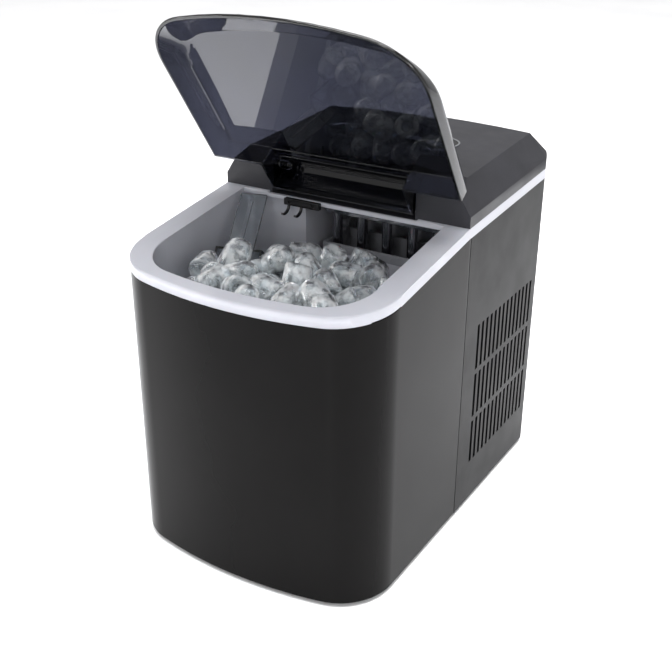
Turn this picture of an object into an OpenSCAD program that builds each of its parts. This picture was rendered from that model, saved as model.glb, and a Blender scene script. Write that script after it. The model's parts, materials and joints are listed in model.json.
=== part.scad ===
// Countertop bullet-ice maker, lid standing open.
// X to the right, Y to the rear, Z up; the origin is on the floor under the middle of the machine.

/* [Body] */
// Overall width
body_w = 242; // [220:1:300]
// Depth of the housing, without the cord gland
shell_d = 348; // [320:1:420]
// Height of the closed machine, feet included
body_h = 328; // [315:1:380]
// How far the front panel bows out in the middle
front_bow = 20; // [10:1:30]
// Corner radius of the front panel
front_r = 50; // [35:1:60]
// Corner radius at the rear
rear_r = 12; // [6:1:20]
// Wall of the outer housing
wall = 2.5; // [1.5:0.1:4]
// Height of the rubber feet
foot_h = 4; // [2:0.5:10]
// How far the cord gland stands out of the rear wall
gland_out = 8; // [4:1:12]

/* [Rim] */
// Height of the white strip's lower edge where the lid hinges
rim_z = 271.8; // [262:0.1:290]
// Height of the white strip
rim_h = 9; // [6:0.5:14]
// Fall of the rim towards the front, in degrees
rim_fall = 8; // [4:0.5:10]
// Rise of the strip towards the rear, in degrees
strip_rise = 3.5; // [1:0.5:5]
// Width of the rim beside the tank
rim_w = 21; // [17:1:28]
// Width of the rim in front of the tank
rim_front_w = 12.5; // [10:0.5:20]

/* [Lid] */
// Angle that the lid stands open, counted from closed
lid_open = 64; // [40:1:80]
// Height of the lid above its own rim
lid_h = 21.5; // [16:0.5:26]
// Wall of the lid
lid_wall = 2.5; // [1.5:0.1:3.5]
// Gap between the closed lid and the rim
lid_gap = 0.7; // [0.4:0.1:1.5]
// Upright edge of the lid and of the top cover
edge_h = 9.5; // [6:0.5:12]
// Radius of the hinge pins
pin_r = 2.2; // [1.5:0.1:2.6]
// Radial play of a turning pin
pin_play = 0.05; // [0.02:0.01:0.1]

/* [Tank] */
// Height of the tank's floor
tank_floor = 62; // [50:1:90]
// Wall of the tank
tank_wall = 2.5; // [1.5:0.1:4]
// Height of the basket's floor
basket_z = 118; // [100:1:150]
// Height of the basket
basket_h = 104; // [60:1:110]
// Gap between the basket and the tank
basket_gap = 6; // [4:0.5:10]

/* [Ice making] */
// Sideways place of the evaporator
evap_x = 26; // [10:1:26]
// Distance between neighbouring cooling fingers
finger_pitch = 25.4; // [22:0.1:26]
// Radius of a cooling finger
finger_r = 4.5; // [3:0.1:5]
// Length of a cooling finger
finger_len = 43; // [34:1:44]
// Depth of the water tray
tray_d = 46; // [40:1:48]
// Height of the water tray
tray_h = 30; // [24:1:34]

/* [Panel] */
// Half length of the control window
panel_l = 66; // [50:1:75]
// Half width of the control window
panel_b = 21; // [16:1:24]
// Travel of a button
button_travel = 1; // [0.6:0.1:1.5]
// Play around a button
button_play = 0.3; // [0.2:0.05:0.5]

/* [Machinery] */
// Radius of the compressor
comp_r = 42; // [34:1:44]
// Height of the compressor's shell
comp_h = 96; // [80:1:110]
// Radius of the condenser fan
fan_r = 48; // [40:1:50]
// Number of louvre slots in a row
louvre_n = 14; // [8:1:16]

/* [Hidden] */
$fn = 64;
eps = 0.01;

// Outline of the housing
half_w = body_w / 2;
y_front = -(shell_d + gland_out) / 2;
y_rear = y_front + shell_d;
body_plan = [half_w, y_front, y_rear, front_bow, front_r, rear_r];
split_y = 0;
split_gap = 0.3;
base_z = foot_h;

// Rim and strip
fold_y = -4;
rim_top = rim_z + rim_h;

// Hinge of the lid
hinge_y = fold_y + 10;
hinge_z = rim_top + 23.2;
lug_in = 71.4;
lug_play = 1.2;
lug_h = 22.7;
trunk_x = lug_in - lug_play;
trunk_rear = 23.5;
slope_rise = 0.306;
lid_bevel = 8;
bevel_tan = 23.3 / 15.4;

// Top cover
cover_wall = 2.5;
crown_sag = 4.6;
crown_r = (105 * 105 + crown_sag * crown_sag) / (2 * crown_sag);
cover_top = body_h - rim_top - (y_rear - 17 - fold_y) * tan(strip_rise);
recess_rear = hinge_y + 15;
recess_floor = rim_top - 1.5;

// Cross bar between the tank and the top cover
bar_z = rim_top - 4.5;

// Tank
tank_x = half_w - rim_w;
tank_front = y_front + rim_front_w;
tank_rear = 2;
tank_plan = [tank_x, tank_front, tank_rear, 13, 42, 6];
basket_plan = [tank_x - basket_gap, tank_front + basket_gap, tank_rear - basket_gap, 13, 38, 10];

// Scoop, standing in the ice beside the left wall
scoop_r = 22;
scoop_bowl = 80;
scoop_handle = 57;
scoop_lean = 39.5;

// Ice-making chamber behind the tank
cham_x0 = evap_x - 66;
cham_x1 = evap_x + 71;
cham_y1 = 96;
cham_z0 = rim_z - 99.8;
finger_top = rim_z - 11.8;
header_h = 6;
pipe_z = finger_top + 2.2;
suction_r = 3.6;
hose_z = finger_top - 12;
row_y = [32, 56];
tray_y0 = 20;
tray_z0 = rim_z - 68.3;
tray_x0 = evap_x - 60;
tray_x1 = evap_x + 62;
ramp_z = tray_z0 + 11;
tilt_y = tray_y0 + tray_d + 2;
tilt_z = tray_z0 + tray_h + 3;
shaft_r = 3;
tray_wall = 2;

// Control window
panel_y = 84;
button_x = [24, 48];
button_y = [1, -2];

// Machine compartment
pan_t = 3;
floor_z = base_z + pan_t;
comp_x = 75 - half_w;
comp_y = y_rear - 58;
comp_z = floor_z + 11;
cond_y0 = y_rear - 120;
cond_y1 = y_rear - 20;
cond_x0 = half_w - 33;
cond_x1 = half_w - 11;
cond_z1 = 160;
cond_pitch = 20;
fan_y = (cond_y0 + cond_y1) / 2;
fan_z = 100;
pump = [10, 36];
outlet = [28, 49];
valve = [-30, 40];
valve_z = 122;
drier = [cond_x0 - 36, 26];
float_at = [-60, -40];
drain_x = 27 - half_w;
drain_z = 34;
gland_x = half_w - 41;
gland_z = 30;
box_x = 25 - half_w;
box_y = y_rear - 66;
box_z = rim_z - 45.8;
fit_gap = 0.3;
grille = [120, 90];
grille_x = -10;
grille_z = 205;

// ---------- shared shapes ----------

module box(a, b) {
    translate(a) cube(b - a);
}

module xcyl(r, x0, x1, y, z) {
    translate([x0, y, z]) rotate([0, 90, 0]) cylinder(r = r, h = x1 - x0);
}

module ycyl(r, y0, y1, x, z) {
    translate([x, y0, z]) rotate([-90, 0, 0]) cylinder(r = r, h = y1 - y0);
}

// Radius of the bowed front of a plan
function bow_r(p) = (p[0] * p[0] + p[3] * p[3]) / (2 * p[3]);
function bow_y(p) = p[1] + bow_r(p);
// Middle of a front corner's arc
function corner(p) = [p[0] - p[4], bow_y(p) - sqrt(pow(bow_r(p) - p[4], 2) - pow(p[0] - p[4], 2))];

// Plan outline: bowed front, round corners, set in by i; the bow has fine sides to the circle
module plan(p, i = 0, fine = 360) {
    c = corner(p);
    R = bow_r(p);
    k = 1 + 1.6 * p[4] / (R - p[4]);
    fx = c[0] * k;
    fy = bow_y(p) + (c[1] - bow_y(p)) * k;
    union() {
        intersection() {
            translate([0, bow_y(p)]) circle(r = R - i, $fn = fine);
            polygon([c, [fx, fy], [fx, fy - 2 * p[3]], [-fx, fy - 2 * p[3]], [-fx, fy], [-c[0], c[1]]]);
        }
        for (s = [-1, 1]) translate([s * c[0], c[1]]) circle(r = p[4] - i);
        translate([-(p[0] - i), c[1]]) square([2 * (p[0] - i), p[2] - p[5] - c[1]]);
        if (p[5] > i)
            for (s = [-1, 1]) translate([s * (p[0] - p[5]), p[2] - p[5]]) circle(r = p[5] - i);
        translate([-(p[0] - max(p[5], i)), c[1]]) square([2 * (p[0] - max(p[5], i)), p[2] - i - c[1]]);
    }
}

// Everything below the lower face of the strip, lifted by up
module below_strip(up = 0) {
    far = 400;
    translate([-far / 2, 0, 0])
        rotate([90, 0, 90])
            linear_extrude(far)
                polygon([
                    [fold_y - far, -10],
                    [fold_y - far, rim_z + up - far * tan(rim_fall)],
                    [fold_y, rim_z + up],
                    [fold_y + far, rim_z + up + far * tan(strip_rise)],
                    [fold_y + far, -10]
                ]);
}

// Frames that lean with the front rim and with the rear strip; their origin is the fold of the rim
module front_lean() {
    translate([0, fold_y, rim_top]) rotate([rim_fall, 0, 0]) children();
}

module rear_lean() {
    translate([0, fold_y, rim_top]) rotate([strip_rise, 0, 0]) children();
}

// A vector set to length 1
function unit(v) = v / norm(v);
// Points of a route with its corners rounded over a length b
function route(p, b) = concat([p[0]],
    [for (i = [1:len(p) - 2])
        let (a = p[i] + unit(p[i - 1] - p[i]) * b, c = p[i] + unit(p[i + 1] - p[i]) * b)
            for (t = [0:0.25:1]) a * pow(1 - t, 2) + p[i] * 2 * t * (1 - t) + c * t * t],
    [p[len(p) - 1]]);

// Round tube swept along the points q
module tube(q, r, n = 10) {
    m = len(q);
    ref = [0.31, 0.27, 0.91];
    dirs = [for (i = [0:m - 1]) unit(q[min(i + 1, m - 1)] - q[max(i - 1, 0)])];
    ring = [for (i = [0:m - 1])
        let (u = unit(cross(dirs[i], ref)), v = cross(dirs[i], u))
            for (j = [0:n - 1]) q[i] + r * (u * cos(360 * j / n) + v * sin(360 * j / n))];
    sides = [for (i = [0:m - 2]) for (j = [0:n - 1])
        [i * n + j, (i + 1) * n + j, (i + 1) * n + (j + 1) % n, i * n + (j + 1) % n]];
    polyhedron(ring, concat(sides, [[for (j = [0:n - 1]) j]],
        [[for (j = [n - 1:-1:0]) (m - 1) * n + j]]));
}

// ---------- housing ----------

module front_shell() {
    color("#1b1c1e")
        difference() {
            intersection() {
                linear_extrude(400) plan(body_plan);
                below_strip();
                box([-half_w - 1, y_front - 1, base_z], [half_w + 1, split_y - split_gap, 400]);
            }
            translate([0, 0, base_z - 1]) linear_extrude(400) plan(body_plan, wall);
        }
}

// Louvre slots of one side wall: three rows of upright slots
module louvres(side) {
    y0 = split_y + 26;
    pitch = (y_rear - 16 - y0) / louvre_n;
    for (row = [0:2], i = [0:louvre_n - 1])
        translate([side * (half_w - wall / 2) - wall, y0 + i * pitch, 45 + row * 48])
            cube([2 * wall, pitch * 0.5, 43]);
}

module rear_shell() {
    color("#202124")
        difference() {
            intersection() {
                linear_extrude(400) plan(body_plan);
                below_strip();
                box([-half_w - 1, split_y + split_gap, base_z], [half_w + 1, y_rear + 1, 400]);
            }
            translate([0, 0, base_z - 1]) linear_extrude(400) plan(body_plan, wall);
            louvres(1);
            louvres(-1);
            box([grille_x - grille[0] / 2 + 6, y_rear - 5, grille_z - grille[1] / 2 + 6],
                [grille_x + grille[0] / 2 - 6, y_rear + 1, grille_z + grille[1] / 2 - 6]);
            grille_screws() screw_hole();
            ycyl(6, y_rear - 5, y_rear + 1, gland_x, gland_z);
            ycyl(10, y_rear - 5, y_rear + 1, drain_x, drain_z);
        }
}

module rear_grille() {
    w = grille[0];
    h = grille[1];
    color("#18191b")
        difference() {
            box([grille_x - w / 2, y_rear, grille_z - h / 2], [grille_x + w / 2, y_rear + 2.5, grille_z + h / 2]);
            for (i = [0:8])
                box([grille_x - w / 2 + 8, y_rear - 1, grille_z - h / 2 + 9 + i * 8.3],
                    [grille_x + w / 2 - 8, y_rear + 4, grille_z - h / 2 + 13.5 + i * 8.3]);
            grille_screws() screw_hole();
        }
}

module grille_screws() {
    for (sx = [-1, 1], sz = [-1, 1])
        translate([grille_x + sx * (grille[0] / 2 - 3.5), y_rear + 2.5, grille_z + sz * (grille[1] / 2 - 3.5)])
            children();
}

module screw_hole() {
    translate([0, -6, 0]) rotate([-90, 0, 0]) cylinder(r = 1.6, h = 8);
}

module case_screws() {
    color("#8d8f92")
        grille_screws() {
            difference() {
                rotate([-90, 0, 0]) cylinder(r = 3, h = 1.8);
                box([-2.2, 1, -0.4], [2.2, 3, 0.4]);
            }
            translate([0, -5.5, 0]) rotate([-90, 0, 0]) cylinder(r = 1.5, h = 5.5);
        }
}

module base_pan() {
    color("#26272a")
        difference() {
            union() {
                difference() {
                    translate([0, 0, base_z]) linear_extrude(14) plan(body_plan, wall + 0.4);
                    translate([0, 0, floor_z]) linear_extrude(20) plan(body_plan, wall + 2.4);
                }
                mount_spots() translate([0, 0, floor_z]) cylinder(r = 9, h = 4);
                box([cond_x0 - 2, cond_y0, floor_z - eps], [cond_x1, cond_y1, 40]);
                translate([pump[0], pump[1], floor_z - eps]) cylinder(r = 24, h = 6);
            }
            box([cond_x0, cond_y0 + 3, floor_z], [cond_x1 - 2, cond_y1 - 3, 41]);
            for (i = [0:5])
                box([i * 20 - 60, 40, base_z - 1], [i * 20 - 52, 64, floor_z + 8]);
        }
}

// Where the compressor stands
module mount_spots() {
    for (a = [30:120:270]) translate([comp_x, comp_y, 0]) rotate(a) translate([comp_r + 4, 0, 0]) children();
}

module feet() {
    color("#2b2b2b")
        for (sx = [-1, 1], y = [y_front + 42, y_rear - 28])
            translate([sx * (half_w - 36), y, 0])
                rotate_extrude()
                    polygon([[0, 0], [9.5, 0], [11, 1.2], [11.5, foot_h], [0, foot_h]]);
}

module cord_gland() {
    color("#151515")
        difference() {
            union() {
                ycyl(5.9, y_rear - 9, y_rear + 1, gland_x, gland_z);
                ycyl(8, y_rear - 5, y_rear - wall, gland_x, gland_z);
                ycyl(8.5, y_rear, y_rear + 3, gland_x, gland_z);
                ycyl(6.2, y_rear + 2, y_rear + gland_out, gland_x, gland_z);
            }
            ycyl(3.5, y_rear - 10, y_rear + gland_out + 1, gland_x, gland_z);
        }
}

// ---------- tank and rim ----------

module tank_liner() {
    color("#f2f3f4")
        difference() {
            union() {
                intersection() {
                    difference() {
                        linear_extrude(400) plan(body_plan);
                        box([-half_w + rim_w, cham_y1 + tank_wall, 0], [half_w - rim_w, y_rear - 14, 400]);
                    }
                    difference() {
                        below_strip(rim_h);
                        below_strip();
                    }
                }
                intersection() {
                    translate([0, 0, tank_floor]) linear_extrude(400) plan(tank_plan, -tank_wall);
                    below_strip(1);
                }
                intersection() {
                    box([cham_x0 - tank_wall, tank_rear, cham_z0 - tank_wall],
                        [cham_x1 + tank_wall, cham_y1 + tank_wall, 400]);
                    below_strip(1);
                }
            }
            // tank, up to the cross bar
            intersection() {
                translate([0, 0, tank_floor + tank_wall]) linear_extrude(400) plan(tank_plan);
                union() {
                    box([-half_w, y_front, 0], [half_w, fold_y - 3.5, 400]);
                    box([-half_w, y_front, 0], [half_w, tank_rear + 1, bar_z]);
                }
            }
            // chamber and its mouth into the tank
            box([cham_x0, fold_y + 1, cham_z0], [cham_x1, cham_y1, bar_z]);
            box([cham_x0, fold_y + 4, cham_z0], [cham_x1, cham_y1, 400]);
            // seat of the evaporator's bracket
            box([cham_x0 - 6, row_y[0] - 10, finger_top + header_h], [cham_x1 + 6, row_y[1] + 10, 400]);
            // room for the recess of the top cover
            box([-lug_in - cover_wall - 0.5, fold_y, recess_floor - 2.2],
                [lug_in + cover_wall + 0.5, recess_rear + cover_wall + 0.5, 400]);
            box([-lug_in - cover_wall - 0.5, fold_y - 10, recess_floor],
                [lug_in + cover_wall + 0.5, fold_y + 1, 400]);
            // shafts, pipes and hoses
            xcyl(shaft_r + pin_play, cham_x0 - 5, cham_x1 + 5, tilt_y, tilt_z);
            for (x = [evap_x - 46, evap_x - 34]) ycyl(4.4, cham_y1 - 1, cham_y1 + 5, x, pipe_z);
            ycyl(2, cham_y1 - 1, cham_y1 + 5, evap_x + 44, pipe_z);
            ycyl(4.7, cham_y1 - 1, cham_y1 + 5, evap_x - finger_pitch, hose_z);
            ycyl(5.4, tank_rear - 1, tank_rear + 5, pump[0], tank_floor + 10);
            ycyl(5.4, tank_rear - 1, tank_rear + 5, drain_x, tank_floor + 10);
        }
    // ramp from the tray down to the basket, on the wall between the tank and the chamber
    color("#f2f3f4")
        translate([cham_x0 - 1, 0, 0])
            rotate([90, 0, 90])
                linear_extrude(cham_x1 - cham_x0 + 2)
                    polygon([
                        [tank_rear, cham_z0 - 1], [tank_rear, ramp_z], [tray_y0 - 2, ramp_z + 11.5],
                        [tray_y0 - 0.8, ramp_z + 9.5], [tank_rear + tank_wall, ramp_z - 2],
                        [tank_rear + tank_wall, cham_z0 - 1]
                    ]);
    color("#f2f3f4")
        for (sx = [-1, 1], y = [tank_front + 36, tank_rear - 22])
            translate([sx * (tank_x - 22), y, tank_floor + tank_wall])
                cylinder(r = 6, h = basket_z - tank_floor - tank_wall - 0.3);
}

module tank_foam() {
    color("#e8dfae")
        difference() {
            intersection() {
                translate([0, 0, tank_floor - 14]) linear_extrude(195) plan(body_plan, wall + 1);
                box([-half_w, y_front, 0], [half_w, -1, rim_z - 30]);
            }
            translate([0, 0, tank_floor - 1]) linear_extrude(300) plan(tank_plan, -tank_wall - 0.5);
        }
}

// Black holder on the cross bar with two feelers that hang over the ice
module ice_sensor() {
    x = cham_x0 - 14;
    color("#141415") {
        difference() {
            box([x, fold_y - 8, bar_z - 3], [x + 36, fold_y - 3.6, recess_floor]);
            for (dx = [6, 30]) ycyl(1.6, fold_y - 9, fold_y - 6, x + dx, bar_z);
        }
        for (dx = [4, 17])
            translate([x + dx, fold_y - 12.8, bar_z - 2.5])
                rotate([90, 0, 90])
                    rotate_extrude(angle = -120) translate([7, 0]) square([2, 2.4], center = true);
    }
}

module float_stem() {
    color("#e9e9e6") {
        translate([float_at[0], float_at[1], tank_floor + tank_wall]) {
            cylinder(r = 8, h = 3);
            cylinder(r = 2.5, h = 34);
            translate([0, 0, 34]) cylinder(r = 4.5, h = 2);
        }
    }
}

module level_float() {
    color("#d9d4c4")
        translate([float_at[0], float_at[1], tank_floor + tank_wall + 3.3])
            difference() {
                cylinder(r = 10, h = 14);
                translate([0, 0, -1]) cylinder(r = 2.5 + fit_gap, h = 16);
            }
}

module ice_basket() {
    slots = floor((2 * basket_plan[0] - 40) / 12);
    color("#e3e7ea")
        difference() {
            union() {
                translate([0, 0, basket_z]) linear_extrude(basket_h) plan(basket_plan);
                intersection() {
                    translate([0, 0, basket_z + basket_h - 3]) linear_extrude(3) plan(basket_plan, -3);
                    box([-half_w, y_front, 0], [half_w, basket_plan[2] - 10, 400]);
                }
            }
            translate([0, 0, basket_z + 2]) linear_extrude(basket_h) plan(basket_plan, 2);
            box([-half_w, basket_plan[2] - 12, basket_z + basket_h - 24], [half_w, basket_plan[2] + 5, 400]);
            for (i = [0:slots], y = [basket_plan[1] + 30, basket_plan[1] + 92])
                translate([-basket_plan[0] + 20 + i * 12, y, basket_z - 1]) cube([4, 50, 4]);
            for (s = [-1, 1])
                box([s * basket_plan[0] - 4, -112, basket_z + basket_h - 24],
                    [s * basket_plan[0] + 4, -62, basket_z + basket_h - 8]);
        }
}

// Scoop: an open half-round bowl with a flat ribbed handle, drawn lying along X with its lip at +X
module scoop_shape() {
    difference() {
        union() {
            difference() {
                xcyl(scoop_r, 0, scoop_bowl, 0, 0);
                xcyl(scoop_r - 2, 2.2, scoop_bowl + 5, 0, 0);
                box([-5, -40, 6], [scoop_bowl + 10, 40, 60]);
            }
            box([-scoop_handle, -12, 1], [2, 12, 4.2]);
            box([-scoop_handle + 8, -1.5, 3], [1, 1.5, 7]);
        }
        translate([scoop_bowl - 14, -40, 10]) rotate([0, 32, 0]) cube([60, 80, 60]);
    }
}

module ice_scoop() {
    color([0.75, 0.85, 0.92, 0.5])
        translate([-tank_x + 30, -56, basket_z + basket_h + 18])
            rotate([0, 0, -72.4]) rotate([0, scoop_lean, 0]) scoop_shape();
}

// ---------- lid and top cover ----------

module lid_frame() {
    translate([0, hinge_y, hinge_z])
        rotate([-lid_open, 0, 0])
            translate([0, -hinge_y, -hinge_z])
                front_lean()
                    translate([0, 0, lid_gap])
                        children();
}

// The hinge's place in the frame of the lid
hinge_u = (hinge_y - fold_y) * cos(rim_fall) + (hinge_z - rim_top) * sin(rim_fall);
hinge_w = (hinge_z - rim_top) * cos(rim_fall) - (hinge_y - fold_y) * sin(rim_fall) - lid_gap;
lid_plan = [half_w - 0.4, (y_front + 0.4 - fold_y) / cos(rim_fall), 20, front_bow, front_r, 0];
lid_rear = -6.7;
front_edge = 2.2;
front_slope = 33;

// Room under the lid's dome: its wall follows the points of prof and its front slopes back from drop
module dome(prof, drop) {
    hull()
        for (q = prof) {
            back = max(0, (q[1] + drop - front_edge) / tan(front_slope) - q[0]);
            translate([0, 0, q[1]])
                linear_extrude(eps)
                    plan([lid_plan[0], lid_plan[1] + back, lid_plan[2], front_bow, front_r, 0], q[0], 120);
        }
}

// Side view of the trunk between the lugs, set in by i
module trunk_view(i) {
    polygon([
        [-8, i > 0 ? -5 : 0],
        [trunk_rear - i, i > 0 ? -5 : 0],
        [trunk_rear - i, hinge_w + 3 - i],
        [trunk_rear - i - 2.5, lid_h + slope_rise * (trunk_rear - 2.5) - 1.05 * i],
        [0, lid_h - 1.05 * i],
        [-8, lid_h - 1.05 * i]
    ]);
}

module lid() {
    t = lid_wall;
    drop = t / cos(front_slope);
    outer = [[0, 0], [0, front_edge], [0, edge_h], [2.2, edge_h + 5.5], [5.4, edge_h + 9.4], [9.5, lid_h - eps]];
    inner = [[t, -2], [t, front_edge - drop + t * tan(front_slope)], [t, edge_h],
        [2.2 + t * 0.9, edge_h + 4.9], [5.6 + t * 0.7, edge_h + 8.1], [10 + t * 0.5, lid_h - t]];
    color([0.35, 0.38, 0.48, 0.55])
        lid_frame()
            difference() {
                union() {
                    difference() {
                        intersection() {
                            dome(outer, 0);
                            box([-half_w, -400, -5], [half_w, lid_rear, 40]);
                        }
                        intersection() {
                            dome(inner, drop);
                            union() {
                                box([-half_w, -400, -5], [half_w, lid_rear - t, 40]);
                                box([-trunk_x + t, -20, -5], [trunk_x - t, 1, 40]);
                            }
                        }
                    }
                    difference() {
                        translate([-trunk_x, 0, 0]) rotate([90, 0, 90]) linear_extrude(2 * trunk_x) trunk_view(0);
                        translate([-trunk_x + t, 0, 0])
                            rotate([90, 0, 90]) linear_extrude(2 * (trunk_x - t)) trunk_view(t);
                        box([-trunk_x + t, -20, -5], [trunk_x - t, 0, lid_h - t]);
                    }
                    for (s = [-1, 1])
                        xcyl(4.4, s > 0 ? trunk_x - 12 : -trunk_x, s > 0 ? trunk_x : -trunk_x + 12, hinge_u, hinge_w);
                }
                xcyl(pin_r + pin_play, -trunk_x - 1, -trunk_x + 13, hinge_u, hinge_w);
                xcyl(pin_r + pin_play, trunk_x - 13, trunk_x + 1, hinge_u, hinge_w);
            }
}

module hinge_pins() {
    color("#c5c8cb")
        for (s = [0, 1]) mirror([s, 0, 0]) xcyl(pin_r, trunk_x - 11, lug_in + 13, hinge_y, hinge_z);
}

// Solid of the top cover, set in by i; the crown is a wide cylinder
module cover_solid(i) {
    d = i > 0 ? 20 : 0;
    far = 400;
    v_rear = (y_rear - fold_y) / cos(strip_rise);
    sl = 1.2 * i;
    intersection() {
        linear_extrude(far) plan(body_plan, i);
        box([-half_w, fold_y + i, 0], [half_w, y_rear + 1, far]);
        rear_lean()
            intersection() {
                translate([0, far - 50, 0])
                    rotate([90, 0, 0])
                        linear_extrude(far)
                            polygon([
                                [-half_w, -d], [half_w, -d], [half_w, edge_h - sl * bevel_tan],
                                [half_w - 60 / bevel_tan, edge_h + 60 - sl * bevel_tan],
                                [-half_w + 60 / bevel_tan, edge_h + 60 - sl * bevel_tan],
                                [-half_w, edge_h - sl * bevel_tan]
                            ]);
                translate([-half_w, 0, 0])
                    rotate([90, 0, 90])
                        linear_extrude(body_w)
                            polygon([
                                [-9, -d], [v_rear, -d], [v_rear, edge_h - sl * bevel_tan],
                                [v_rear - 60 / bevel_tan, edge_h + 60 - sl * bevel_tan],
                                [100, lug_h + 100 * 0.43 - sl],
                                [1.4, lug_h - sl],
                                [-9, lug_h - sl]
                            ]);
                translate([0, -50, cover_top - i - crown_r])
                    rotate([-90, 0, 0]) cylinder(r = crown_r, h = far, $fn = 360);
            }
    }
}

// Oval of the control window, grown by d: an ellipse with slightly fuller ends
module oval(d = 0) {
    polygon([for (a = [0:7.5:352.5])
        [(panel_l + d) * sign(cos(a)) * pow(abs(cos(a)), 0.86), (panel_b + d) * sign(sin(a)) * pow(abs(sin(a)), 0.86)]]);
}

// Frame at the middle of the control window, on the crown
module panel_frame() {
    rear_lean() translate([0, (panel_y - fold_y) / cos(strip_rise), 0]) children();
}

// Slab with the outline of the children, from depth b to depth a under the top of the cover
module top_slab(a, b) {
    translate([0, 0, cover_top - b]) linear_extrude(b - a) children();
}

module button_outline(d = 0) {
    for (s = [-1, 1]) translate([s * 3.5, 0]) circle(r = 4.6 + d);
    square([7, 2 * (4.6 + d)], center = true);
}

module at_button(k) {
    panel_frame() translate([button_x[k], button_y[k], 0]) children();
}

module top_cover() {
    t = cover_wall;
    color("#3a3b3f")
        difference() {
            union() {
                difference() {
                    cover_solid(0);
                    difference() {
                        cover_solid(t);
                        box([-lug_in - t, fold_y - 1, 0], [lug_in + t, recess_rear + t, 400]);
                        for (s = [0, 1]) mirror([s, 0, 0]) xcyl(3.9, lug_in, lug_in + 14, hinge_y, hinge_z);
                        panel_frame() translate([0, 0, cover_top - 7]) linear_extrude(20) oval(6);
                    }
                }
                box([-lug_in - t, fold_y, recess_floor - 2], [lug_in + t, recess_rear + t, recess_floor]);
                difference() {
                    box([-lug_in - t, fold_y, recess_floor - 2], [lug_in + t, recess_rear + t, rim_top + 4]);
                    box([-lug_in, fold_y - 1, recess_floor], [lug_in, recess_rear, 400]);
                }
            }
            box([-lug_in, fold_y - 1, recess_floor], [lug_in, recess_rear, 400]);
            for (s = [0, 1]) mirror([s, 0, 0]) xcyl(pin_r + 0.02, lug_in - 1, lug_in + 13.2, hinge_y, hinge_z);
            panel_frame() top_slab(-3, 4) oval(2);
            for (k = [0, 1]) at_button(k) linear_extrude(100) button_outline(button_play);
            panel_frame() for (i = [0:3]) translate([-42 + i * 15, 2, 0]) cylinder(r = 2, h = 100);
        }
}

module panel_bezel() {
    color("#d5d8db") panel_frame() top_slab(0.7, 4) difference() { oval(2); oval(0.1); }
}

module control_lens() {
    color("#08090a")
        panel_frame()
            difference() {
                top_slab(1.2, 4) oval(0);
                for (k = [0, 1])
                    translate([button_x[k], button_y[k], 0]) linear_extrude(100) button_outline(button_play);
                for (i = [0:3]) translate([-42 + i * 15, 2, 0]) cylinder(r = 2, h = 100);
            }
}

module button(k) {
    color("#c9ccd0")
        at_button(k) {
            translate([0, 0, cover_top - 8.5]) linear_extrude(9.2) button_outline();
            translate([0, 0, cover_top - 9.5]) linear_extrude(1.1) button_outline(1.4);
            translate([0, 0, cover_top - 12]) cylinder(r = 2, h = 3);
        }
}

module power_button() {
    button(0);
}

module select_button() {
    button(1);
}

module indicator_leds() {
    color("#79c7e8")
        panel_frame()
            for (i = [0:3]) translate([-42 + i * 15, 2, cover_top - 16]) cylinder(r = 1.9, h = 15.2);
}

module display_board() {
    color("#1f5a3a")
        panel_frame() {
            difference() {
                translate([-56, -16, cover_top - 17.6]) cube([116, 32, 1.6]);
                for (sx = [-52, 56], sy = [-12, 12]) translate([sx, sy, 0]) cylinder(r = 1.5, h = 100);
            }
            for (k = [0, 1])
                translate([button_x[k] - 3, button_y[k] - 3, cover_top - 16]) cube([6, 6, 3]);
        }
    color("#b9bcbf")
        panel_frame()
            for (sx = [-52, 56], sy = [-12, 12])
                translate([sx, sy, cover_top - 16]) cylinder(r = 3, h = 9);
}

// ---------- ice making ----------

// The children at each cooling finger: five in front and four behind, between them
module at_fingers() {
    for (i = [-2:2]) translate([evap_x + i * finger_pitch, row_y[0], 0]) children();
    for (i = [-1.5:1:1.5]) translate([evap_x + i * finger_pitch, row_y[1], 0]) children();
}

module evaporator() {
    color("#cfd2d4") {
        box([evap_x - 60, row_y[0] - 7, finger_top], [evap_x + 60, row_y[1] + 7, finger_top + header_h]);
        at_fingers()
            translate([0, 0, finger_top - finger_len])
                rotate_extrude()
                    polygon([[0, 0], [finger_r * 0.5, 0.4], [finger_r * 0.87, 2], [finger_r, 4.5],
                        [finger_r, finger_len + eps], [0, finger_len + eps]]);
    }
}

module evaporator_bracket() {
    z = finger_top + header_h;
    color("#17181a")
        difference() {
            box([cham_x0 - 6, row_y[0] - 10, z], [cham_x1 + 6, row_y[1] + 10, z + 3.2]);
            for (i = [-1, 1])
                box([evap_x + i * 32 - 18, row_y[0] + 6, z - 1], [evap_x + i * 32 + 18, row_y[1] - 6, z + 5]);
        }
}

module water_tray() {
    color("#d7d9da")
        difference() {
            union() {
                box([tray_x0, tray_y0, tray_z0], [tray_x1, tray_y0 + tray_d, tray_z0 + tray_h]);
                for (x = [tray_x0, tray_x1 - 3])
                    box([x, tray_y0 + tray_d - 10, tray_z0 + 8], [x + 3, tilt_y, tilt_z]);
                for (x = [tray_x0, tray_x1 - 3]) xcyl(7, x, x + 3, tilt_y, tilt_z);
                xcyl(shaft_r, cham_x0 - 9, tray_x0 + 1, tilt_y, tilt_z);
                xcyl(shaft_r, tray_x1 - 1, cham_x1 + 2, tilt_y, tilt_z);
            }
            box([tray_x0 + 3, tray_y0 + tray_wall, tray_z0 + tray_wall],
                [tray_x1 - 3, tray_y0 + tray_d - tray_wall, tilt_z + 20]);
        }
}

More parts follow.
